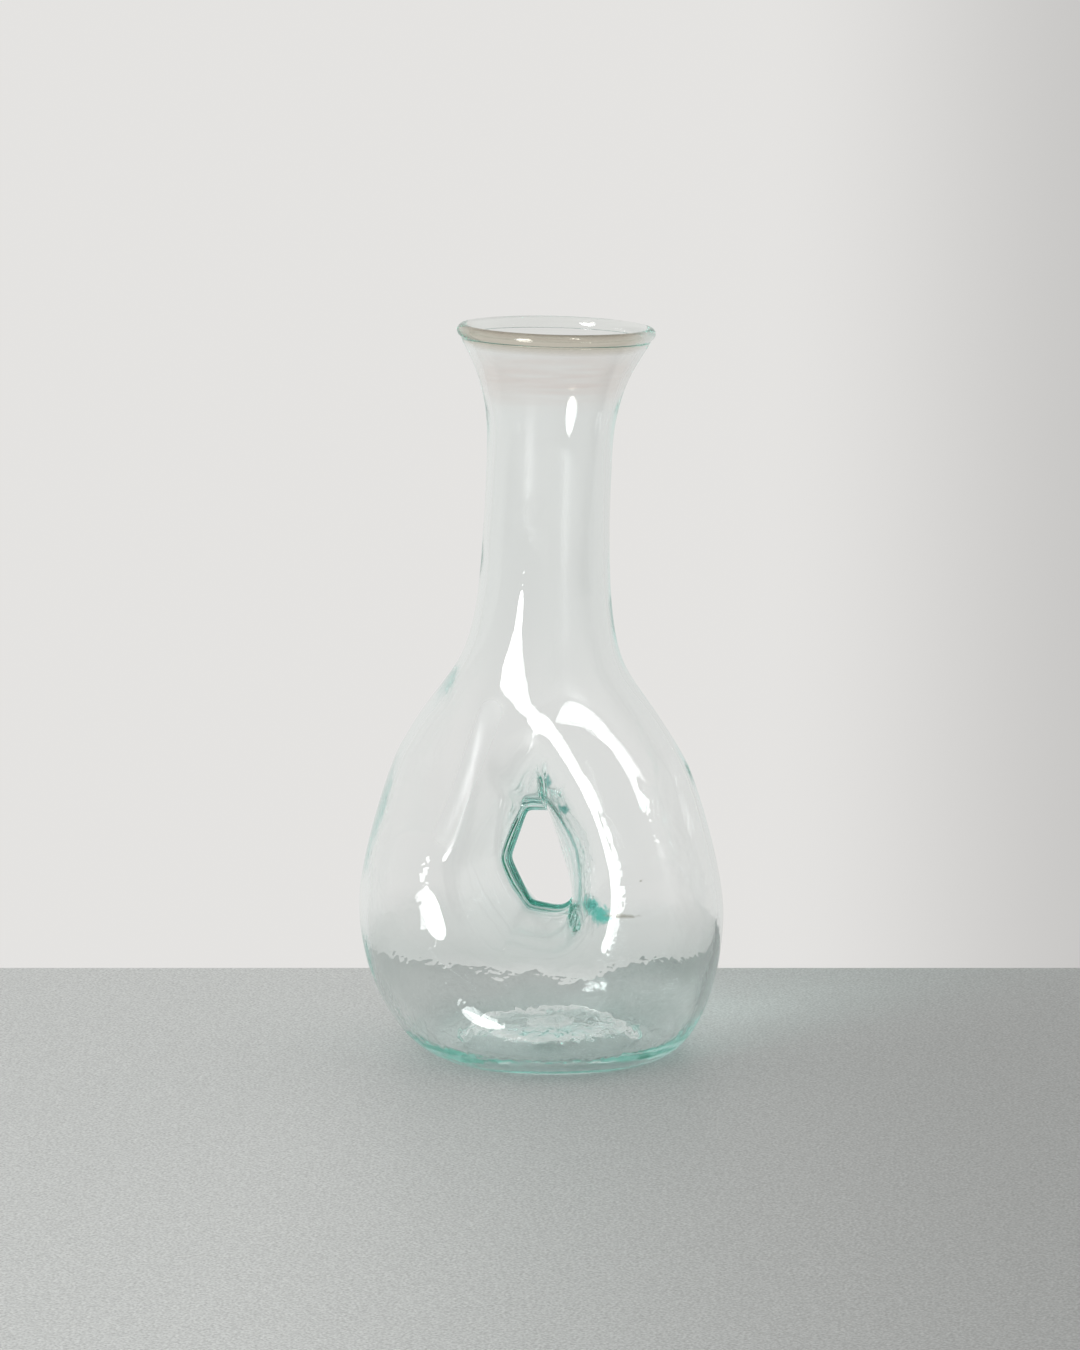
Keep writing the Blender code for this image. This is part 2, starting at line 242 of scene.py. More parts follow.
# The scale of the fray, and the shares of its reach where a smudge ends and where it is full
FRAY_SCALE = 520.0
SMUDGE_EDGE = (1.25, 0.75)

# How the glass bends light, and how rough its smoky and its dulled parts are
GLASS_IOR = 1.5
SMOKE_ROUGHNESS = 0.10
DULL_ROUGHNESS = 0.45

# What each face of the glass lets through to the floor
SHADOW_TINT = (0.92, 0.995, 0.985, 1.0)

# The pontil scar: its size in the pad's box, and the lobes of its edge as number, share and start
SCAR_SHARE = 0.90
SCAR_LOBES = ((3, 0.05, 0.0), (5, 0.04, 1.0))

# Shares of the scar: its innermost ring, how far out its crown reaches, and the heights of its two faces
SCAR_MIDDLE = 0.04
SCAR_CROWN = 0.98
SCAR_UNDER = 0.75
SCAR_OVER = 0.98

# The grain under the scar
SCAR_GRAIN = 0.10
SCAR_GRAIN_X = 1900.0
SCAR_GRAIN_Y = 1700.0

# The scar's two colours, the scale of its ripples, and the part of them where it gets rough
SCAR_CLEAR = (0.98, 1.0, 0.99)
SCAR_GREEN = (0.80, 0.93, 0.90)
SCAR_SCALE = 420.0
SCAR_SHOWN = (0.4, 1.0)
SCAR_ROUGHNESS = 0.35

# The floor: half its size, how far it reaches behind, how far under the foot it lies, and its roughness
FLOOR_HALF = 3.0
FLOOR_BEHIND = 0.135
FLOOR_DROP = 0.0002
FLOOR_ROUGHNESS = 0.45

# The floor's grain, and the painted light and shade that brighten the floor's left and darken its right, as
# the lamp's light falls off
GRAIN_SCALE = 1000.0
GRAIN_NOISE = (0.3, 0.7)
GRAIN_SHADE = (0.76, 1.24)
FALLOFF_SHADE_SPAN = (-0.12, 0.20)
PAINTED_FALLOFF_SHADE = (1.09, 0.64)

# Where the backdrop gives way to the room, as the share of a direction that points to the camera
ROOM_FROM_TO = (-0.40, 0.85)

# Where the backdrop dims to the right, and how far it dims seen straight on and through the glass
DIM_FROM_TO = (0.045, 0.125)
DIM_SHARE = 0.735
DIM_SHARE_THROUGH = 0.92

# How far off the lamp stands, and the height it faces
LAMP_DISTANCE = 2.2
LAMP_AIM = 0.12

# The camera: its place, how far it looks down and to the side, and its lens
CAMERA_DISTANCE = 1.8
CAMERA_HEIGHT = 0.45
CAMERA_DIP = math.radians(9.55)
CAMERA_TRIM = math.radians(0.004)
CAMERA_CLIP = 0.01
LENS_MM = 126.0
SENSOR_MM = 36.0

# How often light may bounce
BOUNCES = 128

# How finely the outline is worked out
CURVE_POINTS = 200
SIDE_POINTS = 1200
PUNT_POINTS = 60

# How finely the glass is drawn
COLUMNS = 160
COLUMN_CROWDING = 0.175
WALL_ROWS = 150
BASE_ROWS = 34
FUNNEL_RINGS = 30
FUNNEL_CROWDING = 1.25
BEAD_ROWS = 12
LIP_ROWS = 28
SCAR_RINGS = 14
SCAR_COLUMNS = 72

# How much of the belly the rings round the hole take, up, down, over the foot and as a share of the columns
PATCH_UP = 0.060
PATCH_DOWN = 0.046
PATCH_OVER_FOOT = 0.008
PATCH_SHARE = 0.155

# Sockets of a colour Mix node
MIX_SHARE = 0
MIX_FIRST = 6
MIX_SECOND = 7
MIX_RESULT = 2


def length(name, description, default):
    """A length a user may change, in metres."""
    return bpy.props.FloatProperty(
        name=name, description=description, default=default, min=0.0, precision=4, unit="LENGTH"
    )


def colour(name, description, default):
    """A colour a user may change, as linear red, green and blue."""
    return bpy.props.FloatVectorProperty(
        name=name, description=description, default=default, size=3, min=0.0, max=1.0, subtype="COLOR"
    )


class VesselSizes(bpy.types.PropertyGroup):
    """Radii and heights of the blown form before the belly is pinched."""

    mouth_radius: length("Mouth radius", "Outside radius just under the lip", 0.0368)
    mouth_height: length("Mouth height", "Height of the mouth under the lip", 0.2763)
    neck_radius: length("Neck radius", "Outside radius at the waist of the neck", 0.02425)
    neck_height: length("Neck height", "Height of the waist of the neck", 0.2300)
    shoulder_radius: length("Shoulder radius", "Half width where the shoulder runs straightest", 0.0570)
    shoulder_height: length("Shoulder height", "Height of that point of the shoulder", 0.1146)
    belly_radius: length("Belly radius", "Half width at the widest", 0.0726)
    belly_height: length("Belly height", "Height of the widest point", 0.0553)
    foot_radius: length("Foot radius", "Outside radius of the foot ring", 0.0440)
    punt_height: length("Punt height", "How far the base is kicked up", 0.0070)
    wall: length("Wall", "Thickness of the glass in the side", 0.0026)
    base_glass: length("Base glass", "Thickness of the glass in the base", 0.0040)
    lip: length("Lip", "Thickness of the trail round the mouth", 0.0050)
    belly_depth: bpy.props.FloatProperty(
        name="Belly depth", description="Depth of the belly over its width", default=0.698,
        min=0.3, max=1.0, subtype="FACTOR",
    )
    lean: length("Lean", "How far the neck leans to the back", 0.0170)


class PinchSizes(bpy.types.PropertyGroup):
    """Place and size of the hole through the belly."""

    hole_offset: length("Hole offset", "How far the hole stands to the right of the axis", 0.0005)
    hole_height: length("Hole height", "Height of the hole's middle", 0.0742)
    hole_width: length("Hole width", "Width of the clear hole", 0.0245)
    hole_tall: length("Hole tall", "Height of the clear hole", 0.0390)


class GlassFinish(bpy.types.PropertyGroup):
    """Colour and surface of the recycled glass."""

    tint: colour("Tint", "Colour that a long way through the glass takes", (0.55, 0.90, 0.85))
    depth: bpy.props.FloatProperty(
        name="Depth of tint", description="How fast the tint deepens, per metre", default=14.0, min=0.0
    )
    pale: colour("Pale tint", "Colour of the thin glass of the neck", (0.978, 0.984, 0.983))
    # Part glass tint, part painted shade: darkens the low belly where the shadowed floor shows through it
    low: colour("Low tint", "Colour of the thicker glass low in the belly", (0.865, 0.885, 0.880))
    haze: colour("Haze", "Colour of the smoky streaks under the lip", (0.925, 0.870, 0.850))
    lip: colour("Lip", "Colour of the trail round the mouth", (0.70, 0.645, 0.560))
    crest: colour("Crest", "Colour of the line along the crest of the lip", (0.24, 0.19, 0.13))
    rim: colour("Rim", "Colour of the glass at the hole's edge", (0.14, 0.46, 0.40))
    # Painted reflection: a bright teal patch by the hole for light reflected inside the thick weld
    weld_reflection: colour("Stain", "Colour of the smear where the tool let go", (0.16, 0.66, 0.58))
    curl: colour("Curl", "Colour of the folded glass over the hole", (0.14, 0.44, 0.40))
    seed: colour("Seeds", "Colour of the specks caught in the glass", (0.52, 0.50, 0.44))
    ripple: length("Ripple", "Height of the fine ripples", 0.00026)
    wave: length("Wave", "Height of the broad waves in the wall", 0.00010)


class StageLook(bpy.types.PropertyGroup):
    """Floor, backdrop and lamp of the plain studio."""

    floor: colour("Floor", "Colour of the floor", (0.625, 0.645, 0.636))
    backdrop: colour("Backdrop", "Light of the wall behind", (0.78, 0.77, 0.755))
    room: colour("Room", "Light of the room behind the camera", (0.40, 0.41, 0.41))
    lamp_watts: bpy.props.FloatProperty(
        name="Lamp", description="Power of the soft box", default=18.0, min=0.0, unit="POWER"
    )
    lamp_width: length("Lamp width", "Width of the soft box", 0.75)
    lamp_height: length("Lamp height", "Height of the soft box", 0.77)
    lamp_turn: bpy.props.FloatProperty(
        name="Lamp turn", description="How far left of the camera the soft box stands",
        default=math.radians(40.0), subtype="ANGLE",
    )
    lamp_rise: bpy.props.FloatProperty(
        name="Lamp rise", description="How high the soft box stands",
        default=math.radians(12.13), subtype="ANGLE",
    )
    camera_turn: bpy.props.FloatProperty(
        name="Camera turn", description="How far right of the front the camera stands",
        default=math.radians(16.0), subtype="ANGLE",
    )


def ease(t):
    """Smooth step: three t squared less two t cubed, held between 0 and 1."""
    t = np.clip(t, 0.0, 1.0)
    return t * t * (3.0 - 2.0 * t)


def glide(t):
    """Smoother step: ten t cubed, less fifteen t to the fourth, plus six t to the fifth.

    Unlike the smooth step, it starts and ends without a jump in how it bends."""
    t = np.clip(t, 0.0, 1.0)
    return t ** 3 * (10.0 - 15.0 * t + 6.0 * t * t)


def rising(value, span):
    """Smooth step that starts at the first value of the span and runs over a length, its second."""
    return ease((value - span[0]) / span[1])


def between(first, second, share):
    """A value part of the way from the first to the second."""
    return first + (second - first) * share


def bezier(start, leave, arrive, end, count):
    """Cubic curve through start and end, drawn towards its two handles."""
    t = np.linspace(0.0, 1.0, count)[:, None]
    start, leave, arrive, end = (np.asarray(p, float) for p in (start, leave, arrive, end))
    return (
        (1 - t) ** 3 * start + 3 * (1 - t) ** 2 * t * leave
        + 3 * (1 - t) * t ** 2 * arrive + t ** 3 * end
    )


def spread(curve, count):
    """The curve drawn again with points at equal steps of its length."""
    steps = np.linalg.norm(np.diff(curve, axis=0), axis=1)
    run = np.concatenate([[0.0], np.cumsum(steps)])
    at = np.linspace(0.0, run[-1], count)
    return np.stack([np.interp(at, run, axis) for axis in curve.T], 1)


def side_outline(size):
    """Radius and height of the outside from mouth to foot: four cubic curves, joined smoothly."""
    count = CURVE_POINTS
    mouth = np.array([size.mouth_radius, size.mouth_height])
    neck = np.array([size.neck_radius, size.neck_height])
    shoulder = np.array([size.shoulder_radius, size.shoulder_height])
    belly = np.array([size.belly_radius, size.belly_height])
    foot = np.array([size.foot_radius, 0.0])
    flare = np.array([-math.cos(MOUTH_SLOPE), -math.sin(MOUTH_SLOPE)])
    fall = np.array([math.cos(SHOULDER_SLOPE), -math.sin(SHOULDER_SLOPE)])
    up = np.array([0.0, 1.0])
    out = np.array([1.0, 0.0])
    curves = (
        bezier(mouth, mouth + MOUTH_HANDLE * flare, neck + NECK_HANDLE_UP * up, neck, count),
        bezier(neck, neck - NECK_HANDLE_DOWN * up, shoulder - SHOULDER_HANDLE_UP * fall, shoulder, count),
        bezier(
            shoulder, shoulder + SHOULDER_HANDLE_DOWN * fall, belly + BELLY_HANDLE_UP * up, belly, count
        ),
        bezier(belly, belly - BELLY_HANDLE_DOWN * up, foot + FOOT_HANDLE * out, foot, count),
    )
    return np.vstack([curves[0]] + [curve[1:] for curve in curves[1:]])


def skin_rows(size, inset, floor):
    """Rows of a skin from the mouth down the side, over the foot ring and up the punt.

    The outline moves inwards by the inset, and by the thicker base glass towards the foot."""
    side = spread(side_outline(size), SIDE_POINTS)
    if inset > 0.0:
        along = np.gradient(side, axis=0)
        along /= np.linalg.norm(along, axis=1)[:, None]
        inward = np.stack([along[:, 1], -along[:, 0]], 1)
        depth = inset + (floor - inset) * ease(1.0 - side[:, 1] / HEEL_RISE)
        side = side + depth[:, None] * inward
        side = side[side[:, 1] <= size.mouth_height]
    end = side[-1]
    ring = np.array([size.foot_radius - FOOT_RING, end[1]])
    top = np.array([PUNT_RADIUS, size.punt_height + floor])
    reach = 0.5 * (ring[0] - top[0])
    climb = np.array([-math.cos(PUNT_SLOPE), math.sin(PUNT_SLOPE)])
    punt = bezier(ring, ring + reach * climb, top + [reach, 0.0], top, PUNT_POINTS)
    tail = np.vstack([end[None], ring[None], punt[1:], [[PUNT_MIDDLE, top[1]]]])
    wall = spread(side, WALL_ROWS)
    return wall, np.vstack([wall, spread(tail, BASE_ROWS)[1:]])


def oval_share(size, height, behind):
    """Depth over width of the section, in front or behind: round at foot and neck, oval in the belly."""
    depth = size.belly_depth + np.where(behind, BACK_DEPTH, 0.0)
    start = np.where(behind, BACK_ROUND_FROM, ROUND_FROM)
    stop = np.where(behind, BACK_ROUND_TO, ROUND_TO)
    low = 1.0 + (depth - 1.0) * ease(height / OVAL_FROM)
    return low + (1.0 - low) * glide((height - start) / (stop - start))


def left_share(x, height):
    """Share of its depth that the left of the belly keeps: it tapers upwards, most at one height."""
    left = ease((-x - TAPER_INNER) / TAPER_WIDTH)
    rise = ease((height - TAPER_FROM) / (TAPER_MOST - TAPER_FROM))
    return 1.0 - TAPER * left * rise * (1.0 - ease((height - TAPER_MOST) / TAPER_FADE))


def hole_radius(pinch, angle):
    """The clear hole's radius at an angle: the nearest of its straight sides, blended at the corners.

    A side at distance d facing angle f stands d over the cosine of the angle from f away; the blend is the
    sum of the inverses to a high power."""
    corner = np.array(HOLE_CORNERS) * [0.5 * pinch.hole_width, 0.5 * pinch.hole_tall]
    after = np.roll(corner, -1, axis=0)
    side = corner - after
    facing = np.arctan2(-side[:, 0], side[:, 1])
    away = corner[:, 0] * np.cos(facing) + corner[:, 1] * np.sin(facing)
    facing = np.where(away < 0, facing + np.pi, facing)
    reach = np.maximum(np.cos(np.asarray(angle)[..., None] - facing), 0.0) / np.abs(away)
    return (reach ** HOLE_SHARPNESS).sum(-1) ** (-1.0 / HOLE_SHARPNESS)


def rounded(share, power):
    """A share's size raised to a power, with the crease at zero rounded off and 1 kept at 1."""
    def lifted(t):
        return (t * t + DISH_BLEND ** 2) ** (0.5 * power) - DISH_BLEND ** power
    return lifted(share) / lifted(1.0)


def pinched(pinch, x, y, z, edge, web):
    """Depth after the pinch: full outside the dish, then a quarter sine down to the web at the hole."""
    dx = x - pinch.hole_offset
    dz = z - pinch.hole_height
    angle = np.arctan2(dz, dx)
    near = hole_radius(pinch, angle) + edge
    back = np.where(y > 0, ease((z - BACK_FROM) / (BACK_TO - BACK_FROM)), 0.0)
    left = ease(0.5 - 0.5 * np.cos(angle))
    across = np.where(dx > 0, between(DISH_RIGHT, BACK_RIGHT, back), DISH_LEFT)
    along = np.where(dz > 0, between(DISH_UP, BACK_UP, back), DISH_DOWN)
    power = np.where(dz > 0, between(DISH_FULLNESS_UP, BACK_FULLNESS_UP, back), DISH_FULLNESS_DOWN)
    far = (
        rounded(np.cos(angle), power) / across ** power + rounded(np.sin(angle), power) / along ** power
    ) ** (-1 / power)
    share = np.clip((np.hypot(dx, dz) - near) / (far - near), 0.0, 1.0)
    slow = between(
        between(DISH_EASE_RIGHT, DISH_EASE_LEFT, left), between(BACK_EASE_RIGHT, BACK_EASE_LEFT, left), back
    )
    slow = slow + (RIM_EASE - slow) * left * (1.0 - ease(share / RIM_SHARE))
    kept = np.sin(0.5 * np.pi * share ** slow)
    deep = np.abs(y)
    return np.copysign(np.where(kept < 1.0, web + (deep - web) * kept, deep), y)


def swayed(size, points):
    """Points moved with the axis: foot and mouth sway right, the neck leans back, the mouth tilts."""
    x, y, z = points.T
    foot = FOOT_SWAY * np.clip(1.0 - z / SWAY_TURN, 0.0, 1.0) ** 2
    rise = np.clip((z - SWAY_TURN) / (size.mouth_height - SWAY_TURN), 0.0, None)
    mouth = MOUTH_SWAY * rise ** MOUTH_SWAY_POWER
    shoulder = SHOULDER_SWAY * np.exp(-((z - SHOULDER_SWAY_HEIGHT) / SHOULDER_SWAY_REACH) ** 2)
    back = size.lean * glide((z - LEAN_FROM) / (LEAN_TO - LEAN_FROM))
    tilt = math.tan(MOUTH_TILT) * ease((z - TILT_FROM) / (size.mouth_height - TILT_FROM))
    return np.stack([x + foot + mouth + shoulder + LEAN_SIDE_SHARE * back, y + back, z - tilt * x], 1)


class Patches:
    """Points and faces of one surface, gathered patch by patch."""

    def __init__(self):
        self.points = []
        self.quads = []
        self.fans = []
        self.inner = []
        self.crest = []
        self.count = 0

    def add(self, x, y, z, inner, crest=0.0):
        """Adds a grid of points and gives their numbers in the same grid."""
        grid = np.stack(np.broadcast_arrays(x, y, z), -1)
        numbers = self.count + np.arange(grid[..., 0].size).reshape(grid.shape[:-1])
        self.points.append(grid.reshape(-1, 3))
        self.inner.append(np.full(numbers.size, inner))
        self.crest.append(np.broadcast_to(crest, numbers.shape).reshape(-1))
        self.count += numbers.size
        return numbers

    def band(self, rows, flip, keep=None):
        """Quads between neighbouring rows of numbers, whose columns go right round."""
        beside = np.roll(rows, -1, axis=1)
        quads = np.stack([rows[:-1], rows[1:], beside[1:], beside[:-1]], -1)
        quads = quads.reshape(-1, 4) if keep is None else quads[keep]
        self.quads.append(quads[:, ::-1] if flip else quads)

    def fan(self, ring, middle, flip):
        """Triangles from a ring of numbers to one middle point."""
        fan = np.stack([ring, np.full(len(ring), middle), np.roll(ring, -1)], -1)
        self.fans.append(fan[:, ::-1] if flip else fan)


def column_angles():
    """Angles of the columns, drawn together at the front and back of the belly."""
    even = np.arange(COLUMNS) * 2.0 * np.pi / COLUMNS
    return even + COLUMN_CROWDING * np.sin(2.0 * even)


def draw_skin(work, size, pinch, inner):
    """One skin of the vessel: rows by columns, with a patch of rings into the hole in front and behind.

    A ring runs between the patch's border and the hole's edge along straight lines seen from the front, and
    takes its depth from the pinched belly. A half circle of rows closes the hole's edge."""
    inset = size.wall if inner else 0.0
    floor = size.base_glass if inner else 0.0
    edge = BEAD + (WELD_WIDTH if inner else 0.0)
    web = SLIT_HALF if inner else WELD_HALF
    wall, rows = skin_rows(size, inset, floor)
    radius, height = rows.T
    turn = column_angles()
    x = radius[:, None] * np.cos(turn)
    z = np.broadcast_to(height[:, None], x.shape)
    y = oval_share(size, z, np.sin(turn) > 0.0) * left_share(x, z) * radius[:, None] * np.sin(turn)
    side = slice(0, WALL_ROWS)
    y[side] = pinched(pinch, x[side], y[side], z[side], edge, web)
    numbers = work.add(x, y, z, inner)

    top = int(np.argmin(np.abs(height[side] - (pinch.hole_height + PATCH_UP))))
    lowest = max(pinch.hole_height - PATCH_DOWN, height[side][-1] + PATCH_OVER_FOOT)
    bottom = int(np.argmin(np.abs(height[side] - lowest)))
    quarter = COLUMNS // 4
    half = int(round(COLUMNS * PATCH_SHARE))
    keep = np.ones((len(rows) - 1, COLUMNS), bool)
    for middle in (quarter, 3 * quarter):
        keep[top:bottom, middle - half:middle + half] = False
    work.band(numbers, inner, keep)

    edges = []
    for middle, facing, order in ((3 * quarter, -1, 1), (quarter, 1, -1)):
        cols = middle + order * np.arange(-half, half + 1)
        tall = bottom - top
        row = np.concatenate([
            np.full(2 * half, top), np.arange(top, bottom),
            np.full(2 * half, bottom), np.arange(bottom, top, -1),
        ])
        col = np.concatenate([cols[:-1], np.full(tall, cols[-1]), cols[:0:-1], np.full(tall, cols[0])])
        start_x, start_z = x[row, col], z[row, col]
        angle = np.arctan2(start_z - pinch.hole_height, start_x - pinch.hole_offset)
        near = hole_radius(pinch, angle) + edge
        t = 1.0 - (1.0 - np.linspace(0.0, 1.0, FUNNEL_RINGS + 1)[1:, None]) ** FUNNEL_CROWDING
        ring_x = start_x + (pinch.hole_offset + near * np.cos(angle) - start_x) * t
        ring_z = start_z + (pinch.hole_height + near * np.sin(angle) - start_z) * t
        half_width = np.interp(ring_z, wall[::-1, 1], wall[::-1, 0])
        deep = oval_share(size, ring_z, facing > 0) * left_share(ring_x, ring_z)
        deep = deep * np.sqrt(np.maximum(half_width ** 2 - ring_x ** 2, 0.0))
        ring_y = pinched(pinch, ring_x, facing * deep, ring_z, edge, web)
        rings = work.add(ring_x, ring_y, ring_z, inner)
        rings = np.vstack([numbers[row, col][None], rings])
        work.band(rings, inner if facing < 0 else not inner)
        edges.append((rings[-1], angle, near))

    (front, angle, near), (back, _, _) = edges
    swing = np.linspace(-0.5 * np.pi, 0.5 * np.pi, BEAD_ROWS + 1)[1:-1, None]
    bead = near + (SLIT_HALF if inner else -BEAD) * np.cos(swing)
    rim_x = pinch.hole_offset + bead * np.cos(angle)
    rim_z = pinch.hole_height + bead * np.sin(angle)
    rim = work.add(rim_x, web * np.sin(swing), rim_z, inner)
    work.band(np.vstack([front[None], rim, back[None]]), inner)
    middle = work.add(np.zeros(1), np.zeros(1), height[-1:], inner)
    work.fan(numbers[-1], middle[0], inner)
    return numbers[0], rows[0]


def draw_lip(work, size, outer, outer_row, inner, inner_row):
    """The lip: most of a circle swung round the mouth, joining the outer skin to the inner one."""
    turn = column_angles()
    centre = 0.5 * (outer_row[0] + inner_row[0]) + LIP_OUT
    level = max(outer_row[1], inner_row[1]) + LIP_SIT * size.lip
    swing = np.linspace(*LIP_SWING, LIP_ROWS)[::-1, None]
    radius = centre + 0.5 * size.lip * np.cos(swing)
    height = level + 0.5 * size.lip * np.sin(swing)
    crest = np.exp(-((swing - CREST_TURN) / CREST_SPREAD) ** 2)
    rows = work.add(radius * np.cos(turn), radius * np.sin(turn), height, False, crest)
    work.band(np.vstack([inner[None], rows, outer[None]]), False)


def point_normals(points, quads, fans):
    """Mean of the faces' normals at each point, one unit long."""
    faces = np.vstack([quads[:, [0, 1, 2]], quads[:, [0, 2, 3]], fans])
    a, b, c = (points[faces[:, k]] for k in range(3))
    across = np.cross(b - a, c - a)
    total = np.stack([
        sum(np.bincount(faces[:, k], across[:, axis], len(points)) for k in range(3)) for axis in range(3)
    ], 1)
    return total / np.maximum(np.linalg.norm(total, axis=1), 1e-20)[:, None]


def waves(points, wavelength, seed):
    """A sum of sines in scattered directions, about one wavelength long, with a spread of 1."""
    rng = np.random.default_rng(seed)
    heading = rng.normal(size=(WAVE_COUNT, 3))
    heading /= np.linalg.norm(heading, axis=1)[:, None]
    pace = 2.0 * np.pi / (wavelength * rng.uniform(*WAVE_LENGTHS, WAVE_COUNT))
    start = rng.uniform(0.0, 2.0 * np.pi, WAVE_COUNT)
    return np.sin(points @ (heading * pace[:, None]).T + start).sum(1) * math.sqrt(2.0 / WAVE_COUNT)


def mesh_object(name, points, faces):
    """A named mesh object at the origin with smooth faces."""
    mesh = bpy.data.meshes.new(name)
    mesh.from_pydata(points.tolist(), [], [face for block in faces for face in block.tolist()])
    mesh.update()
    mesh.shade_smooth()
    piece = bpy.data.objects.new(name, mesh)
    bpy.context.scene.collection.objects.link(piece)
    return piece


def from_line(points, start, end):
    """How far each point is from the nearest place on a straight line between two ends."""
    along = np.subtract(end, start)
    share = np.clip((points - start) @ along / (along @ along), 0.0, 1.0)
    return np.linalg.norm(points - start - share[:, None] * along, axis=1)


def put_attribute(piece, name, values):
    """A number for each point that a material can read by name."""
    layer = piece.data.attributes.new(name, "FLOAT", "POINT")
    layer.data.foreach_set("value", np.asarray(values, np.float32))


def feed(tree, socket, value):
    """Links a socket to another one, or sets it to a plain value."""
    if isinstance(value, bpy.types.NodeSocket):
        tree.links.new(value, socket)
    else:
        socket.default_value = value


def add_node(tree, kind, **settings):
    """A node with its properties set; a key that names an input feeds that input."""
    node = tree.nodes.new(kind)
    for key, value in settings.items():
        if key in node.inputs:
            feed(tree, node.inputs[key], value)
        else:
            setattr(node, key, value)
    return node


def worked(tree, operation, *values):
    """What a math node makes of its values."""
    node = add_node(tree, "ShaderNodeMath", operation=operation)
    for socket, value in zip(node.inputs, values):
        feed(tree, socket, value)
    return node.outputs[0]


def vector_worked(tree, operation, *values):
    """What a vector math node makes of its values: a number for a dot product or length, else a vector."""
    node = add_node(tree, "ShaderNodeVectorMath", operation=operation)
    for socket, value in zip(node.inputs, values):
        feed(tree, socket, value)
    return node.outputs["Value" if operation in ("DOT_PRODUCT", "LENGTH") else "Vector"]


def ranged(tree, value, span, result=(0.0, 1.0), smooth=False):
    """A value carried from one span to another and held at its ends, evenly or by a smooth step."""
    node = add_node(tree, "ShaderNodeMapRange", interpolation_type="SMOOTHSTEP" if smooth else "LINEAR")
    for key, end in zip(("Value", "From Min", "From Max", "To Min", "To Max"), (value, *span, *result)):
        feed(tree, node.inputs[key], end)
    return node.outputs[0]


def mixed(tree, first, second, share, blend="MIX"):
    """Two colours mixed, each a socket or a colour with its alpha."""
    node = add_node(tree, "ShaderNodeMix", data_type="RGBA", blend_type=blend)
    for number, value in ((MIX_SHARE, share), (MIX_FIRST, first), (MIX_SECOND, second)):
        feed(tree, node.inputs[number], value)
    return node.outputs[MIX_RESULT]


def noise(tree, vector, scale, detail):
    """The value of a noise."""
    return add_node(tree, "ShaderNodeTexNoise", Vector=vector, Scale=scale, Detail=detail).outputs[0]


def attribute(tree, name):
    """A number that the mesh holds for each point."""
    return add_node(tree, "ShaderNodeAttribute", attribute_name=name).outputs["Fac"]


def new_group(name, inputs, output):
    """A shader node group with its sockets, the node its inputs come from and the socket it puts out."""
    tree = bpy.data.node_groups.new(name, "ShaderNodeTree")
    for socket, kind, value in inputs:
        made = tree.interface.new_socket(socket, in_out="INPUT", socket_type=kind)
        if value is not None:
            made.default_value = value
    tree.interface.new_socket(output, in_out="OUTPUT", socket_type="NodeSocketFloat")
    start = tree.nodes.new("NodeGroupInput")
    return tree, start.outputs, tree.nodes.new("NodeGroupOutput").inputs[output]


def ripple_group():
    """Height of the ripples: a coarse noise with a finer one over it."""
    tree, start, end = new_group("glass ripples", (
        ("Vector", "NodeSocketVector", None),
        ("Scale", "NodeSocketFloat", RIPPLE_SCALE),
        ("Fine", "NodeSocketFloat", RIPPLE_FINE),
    ), "Height")
    coarse = noise(tree, start["Vector"], start["Scale"], detail=1.0)
    finer = worked(tree, "MULTIPLY", start["Scale"], FINE_SCALE)
    fine = noise(tree, start["Vector"], finer, detail=1.0)
    feed(tree, end, worked(tree, "ADD", coarse, worked(tree, "MULTIPLY", fine, start["Fine"])))
    return tree


def smoke_group():
    """Mask of smoky streaks: a noise drawn out level, shown between two heights."""
    tree, start, end = new_group("smoke streaks", (
        ("Vector", "NodeSocketVector", None),
        ("From", "NodeSocketFloat", STREAK_FROM),
        ("To", "NodeSocketFloat", STREAK_TO),
    ), "Mask")
    level = vector_worked(tree, "MULTIPLY", start["Vector"], STREAK_SCALE)
    shown = ranged(tree, noise(tree, level, scale=1.0, detail=3.0), STREAK_SHOWN)
    height = add_node(tree, "ShaderNodeSeparateXYZ", Vector=start["Vector"]).outputs["Z"]
    middle = worked(tree, "MULTIPLY", worked(tree, "ADD", start["From"], start["To"]), 0.5)
    rise = ranged(tree, height, (start["From"], middle), smooth=True)
    fall = ranged(tree, height, (start["To"], middle), smooth=True)
    feed(tree, end, worked(tree, "MULTIPLY", worked(tree, "MULTIPLY", rise, fall), shown))
    return tree


def smudge_group():
    """Mask of one smudge: an oval round a place, its edge frayed by a noise."""
    tree, start, end = new_group("frayed smudge", (
        ("Vector", "NodeSocketVector", None),
        ("Place", "NodeSocketVector", None),
        ("Reach", "NodeSocketVector", None),
        ("Fray", "NodeSocketFloat", 0.5),
    ), "Mask")
    offset = vector_worked(tree, "SUBTRACT", start["Vector"], start["Place"])
    away = vector_worked(tree, "LENGTH", vector_worked(tree, "DIVIDE", offset, start["Reach"]))
    uneven = noise(tree, start["Vector"], FRAY_SCALE, detail=2.0)
    fray = worked(tree, "MULTIPLY", uneven, start["Fray"])
    feed(tree, end, ranged(tree, worked(tree, "ADD", away, fray), SMUDGE_EDGE, smooth=True))
    return tree


def shared_group(name, make):
    """A node group of that name, made at its first use."""
    return bpy.data.node_groups.get(name) or make()


def start_material(name):
    """A node material with its Principled shader and output."""
    material = bpy.data.materials.new(name)
    material.use_nodes = True
    nodes = material.node_tree.nodes
    return material, material.node_tree, nodes["Principled BSDF"], nodes["Material Output"]


